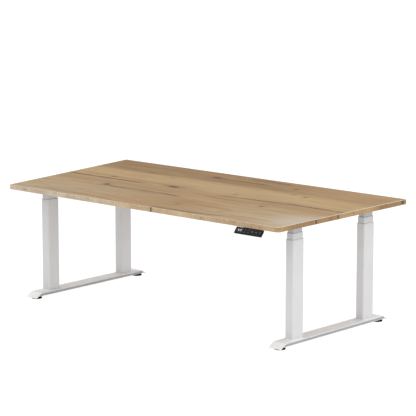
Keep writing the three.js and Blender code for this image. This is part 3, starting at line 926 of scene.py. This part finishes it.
def build_frame(paint, plastic, steel):
    for side in SIDES:
        node = f"{side}_side_rail"
        refine_node(node, paint, 0.4 * MM)
        _, high, _, middle = box_of(node)
        seat = high.z - RAIL_SCREW_SEAT
        places = [middle[1] + sign * offset for offset in RAIL_SCREWS for sign in (-1, 1)]
        screws = joined(*(screw_shape(middle[0], y, seat) for y in places))
        add_piece(f"{side}_rail_screws", screws, steel, "top")
    for row in ROWS:
        node = f"{row}_crossbar"
        refine_node(node, paint, 0.4 * MM)
        low, _, size, middle = box_of(node)
        places = [middle[0] + share * size[0] for share in CROSSBAR_SCREWS]
        screws = joined(*(screw_shape(x, middle[1], low.z) for x in places))
        add_piece(f"{row}_crossbar_screws", screws, steel, "top")
    refine_node("control_box", plastic, 1.2 * MM)


# ---- Handset ----

HANDSET_REACH = 23 * MM
HANDSET_DROP = 27 * MM
FACE_HEIGHT = math.hypot(HANDSET_REACH, HANDSET_DROP)
FACE_TILT = math.atan2(HANDSET_DROP, HANDSET_REACH)
HANDSET_CORNER = 3 * MM
HANDSET_THICKNESS = 7 * MM
FACE_BORDER = 4 * MM
BRACKET = (90 * MM, 50 * MM, 12 * MM)
DIGIT_HEIGHT = 7.4 * MM
DIGIT_PITCH = 6.8 * MM
DISPLAY_NUMBER = "612"
DISPLAY_WINDOW = (36 * MM, 20 * MM)
PRESET_KEY = (12 * MM, 8 * MM)
LARGE_KEY = (17 * MM, 14 * MM)
KEY_LOW = -1.2 * MM
KEY_HIGH = 0.4 * MM
KEY_MARK_HEIGHT = 0.27 * MM
KEY_MARK_REACH = 3.4 * MM
KEY_NUMBER_SIZE = 6 * MM
SEGMENTS = {"6": "afgedc", "1": "bc", "2": "abged"}


def handset_frame():
    """From the handset's own frame to the row's: X along the face, Y up it and Z out of it."""
    middle = node_middle("handset_housing")
    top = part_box("handset_housing")[1].z
    return at(middle.x, TOP_LOW.y, top) @ Matrix.Rotation(FACE_TILT, 4, "X")


def housing_shape():
    size = (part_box("handset_housing")[1].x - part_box("handset_housing")[0].x, FACE_HEIGHT)
    middle = (0.0, -FACE_HEIGHT / 2)
    levels = [(1.5 * MM, -HANDSET_THICKNESS), (0.4 * MM, -HANDSET_THICKNESS + 0.4 * MM),
              (0.0, -HANDSET_THICKNESS + 1.5 * MM), (0.0, -1.2 * MM), (0.3 * MM, -0.4 * MM),
              (1.2 * MM, 0.0), (FACE_BORDER - 0.5 * MM, 0.0), (FACE_BORDER, -0.5 * MM),
              (FACE_BORDER, -1.9 * MM)]
    return loft([rectangle_ring(size, HANDSET_CORNER, z, inset, middle) for inset, z in levels])


def bar_shape(start, end, width, low, high):
    """A flat bar with pointed ends between two points of the face."""
    start, end = Vector(start), Vector(end)
    along = (end - start).normalized()
    side = Vector((-along.y, along.x)) * width / 2
    point = along * width / 2
    outline = [start - point, start + side, end + side, end + point, end - side, start - side]
    return loft([[(p.x, p.y, z) for p in outline] for z in (low, high)])


def digit_shape(digit, x, y, height, width, low, high):
    """One seven segment digit about a point of the face."""
    w, h = height * 0.26, height / 2
    ends = {"a": ((-w, h), (w, h)), "g": ((-w, 0), (w, 0)), "d": ((-w, -h), (w, -h)),
            "f": ((-w, 0), (-w, h)), "b": ((w, 0), (w, h)), "e": ((-w, -h), (-w, 0)),
            "c": ((w, -h), (w, 0))}
    gap = width * 0.62
    bars = []
    for segment in SEGMENTS[digit]:
        (x0, y0), (x1, y1) = ends[segment]
        start, end = Vector((x + x0, y + y0)), Vector((x + x1, y + y1))
        along = (end - start).normalized() * gap
        bars.append(bar_shape(start + along, end - along, width, low, high))
    return joined(*bars)


def key_shape(size, low, high):
    """A key with a raised rim and a shallow dish in its face."""
    levels = [(0.0, low), (0.0, high - 0.5 * MM), (0.15 * MM, high - 0.15 * MM), (0.5 * MM, high),
              (1.2 * MM, high), (2.2 * MM, high - 0.12 * MM), (3.4 * MM, high - 0.18 * MM)]
    return loft([rectangle_ring(size, 2 * MM, z, inset) for inset, z in levels])


def key_mark(name, reach):
    """The printed mark of a key, as bars about the key's middle."""
    low, high = -0.05 * MM, 0.06 * MM
    if name == "key_menu":
        bars = [bar_shape((-reach, y), (reach, y), 0.8 * MM, low, high)
                for y in (-2 * MM, 0.0, 2 * MM)]
    else:
        up = 1 if name == "key_up" else -1
        bars = [bar_shape((sign * reach, -up * reach / 2), (0.0, up * reach / 2), 0.9 * MM, low, high)
                for sign in (-1, 1)]
    return joined(*bars)


def number_shape(text, size):
    """A printed number as flat letters about the origin."""
    curve = bpy.data.curves.new("number", "FONT")
    curve.body = text
    curve.size = size
    curve.extrude = 0.05 * MM
    curve.align_x = "CENTER"
    curve.align_y = "CENTER"
    letter = bpy.data.objects.new("number", curve)
    bpy.context.collection.objects.link(letter)
    bpy.context.view_layer.update()
    mesh = letter.to_mesh()
    shape = [vertex.co.copy() for vertex in mesh.vertices], [tuple(p.vertices) for p in mesh.polygons]
    letter.to_mesh_clear()
    bpy.data.objects.remove(letter)
    return shape


def build_handset(plastic, gloss, glass, lit, print_ink, steel):
    to_row = handset_frame()
    add_piece("handset_panel", housing_shape(), plastic, "top",
              ["handset_housing"], to_row)
    housing_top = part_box("handset_housing")[1].z
    middle_x = node_middle("handset_housing").x
    width, depth, height = BRACKET
    bracket = plate((width, depth), 5 * MM, housing_top - height, housing_top, 1.2 * MM,
                    (middle_x, TOP_LOW.y + depth / 2))
    add_piece("handset_bracket", bracket, plastic, "top")
    screws = joined(*(screw_shape(middle_x + sign * 32 * MM, TOP_LOW.y + 34 * MM,
                                  housing_top - height, 3.6 * MM, 2 * MM) for sign in (-1, 1)))
    add_piece("handset_screws", screws, steel, "top")
    refine_node("handset_face", gloss)

    def local(node):
        return to_row.inverted() @ node_middle(node)

    middle = local("handset_display")
    add_piece("display_window", plate(DISPLAY_WINDOW, 2 * MM, -1.5 * MM, -0.02 * MM, 0.2 * MM),
              glass, "top", ["handset_display"],
              to_row @ at(middle.x, middle.y, 0))
    digits = [digit_shape(digit, middle.x + (i - 1) * DIGIT_PITCH, middle.y, DIGIT_HEIGHT,
                          1.3 * MM, -0.05 * MM, 0.05 * MM) for i, digit in enumerate(DISPLAY_NUMBER)]
    add_piece("display_digits", joined(*digits), lit, "top", (), to_row)

    for number in (1, 2, 3, 4):
        build_key(f"key_preset_{number}", PRESET_KEY, plastic, print_ink, to_row, str(number))
    for name in ("key_menu", "key_up", "key_down"):
        build_key(name, LARGE_KEY, plastic, print_ink, to_row)


def build_key(node, size, plastic, print_ink, to_row, number=""):
    """A key and its printed mark, which ride the key's own body."""
    middle = to_row.inverted() @ node_middle(node)
    place = to_row @ at(middle.x, middle.y, 0)
    add_piece(f"{node}_cap", key_shape(size, KEY_LOW, KEY_HIGH), plastic, BODY_OF[node],
              [node], place)
    mark = number_shape(number, KEY_NUMBER_SIZE) if number else key_mark(node, KEY_MARK_REACH)
    add_piece(f"{node}_mark", mark, print_ink, BODY_OF[node], (),
              place @ at(0, 0, KEY_MARK_HEIGHT))


# ---- Floor ----

FLOOR_HALF = 30.0
FLOOR_DARK = 0.16
FLOOR_PALE = 0.18
FLOOR_GLOW = 0.93


def build_floor():
    graph = Graph("studio_floor", roughness=0.9, specular=0.0)
    cloud = graph.noise(graph.coordinates(), 0.8, 2.0)
    colour = graph.ramp(cloud, (0.0, (FLOOR_DARK,) * 3), (1.0, (FLOOR_PALE,) * 3))
    graph.put(graph.shader, "Emission Color", (1, 1, 1, 1))
    graph.put(graph.shader, "Emission Strength", FLOOR_GLOW)
    mesh = bpy.data.meshes.new("floor")
    corners = [(x * FLOOR_HALF, y * FLOOR_HALF, 0) for x, y in ((-1, -1), (1, -1), (1, 1), (-1, 1))]
    mesh.from_pydata(corners, [], [(0, 1, 2, 3)])
    mesh.materials.append(graph.finish(colour))
    floor = bpy.data.objects.new("floor", mesh)
    bpy.context.collection.objects.link(floor)


# ---- Assembly ----

place_camera()
light_studio()
add_side_light()
build_floor()

# The foot plates' upright edges are darkened as painted shade.
foot_paint = powder_coat("foot_powder_coat", srgb(234, 235, 236), srgb(229, 230, 231), 0.5, 0.86)
# The channels are painted darker than the plates, as painted shade in the groove.
painted_shade_channel_paint = powder_coat("channel_powder_coat_painted_shade", srgb(200, 200, 201), srgb(192, 192, 193), 0.5)
# The middle and inner sections are painted darker than the outer ones: painted shade from the worktop
# above them.
column_paints = {
    "outer": powder_coat("outer_powder_coat", srgb(209, 209, 210), srgb(205, 205, 206), 0.5),
    "middle": powder_coat("middle_powder_coat_painted_shade", srgb(203, 203, 205), srgb(198, 198, 200), 0.5),
    "inner": powder_coat("inner_powder_coat_painted_shade", srgb(186, 187, 190), srgb(181, 182, 185), 0.5),
}
black_paint = powder_coat("black_powder_coat", srgb(38, 38, 39), srgb(28, 28, 29), 0.5)
rubber = pad_rubber()
steel = turned_steel()
collar_plastic = moulded_plastic("white_collar", srgb(222, 222, 223), srgb(212, 212, 213))
nylon = moulded_plastic("nut_nylon", srgb(230, 227, 218), srgb(214, 210, 200))

build_worktop()
build_feet(foot_paint, painted_shade_channel_paint, rubber, steel)
build_columns(column_paints, collar_plastic, black_paint, steel, nylon)
build_frame(black_paint, moulded_plastic("box_plastic", srgb(36, 36, 37), srgb(24, 24, 25)), steel)
build_handset(moulded_plastic("handset_plastic", srgb(20, 20, 22), srgb(15, 15, 17), specular=0.15),
              moulded_plastic("handset_gloss", srgb(30, 30, 32), srgb(25, 25, 27), 0.35, 0.02, 0.15),
              display_glass(), printed_mark("lit_digits", srgb(215, 219, 224), 0.75),
              # The key print's faint glow is painted light, as the print is no lamp.
              printed_mark("key_print_painted_glow", srgb(176, 178, 182), 0.08), steel)
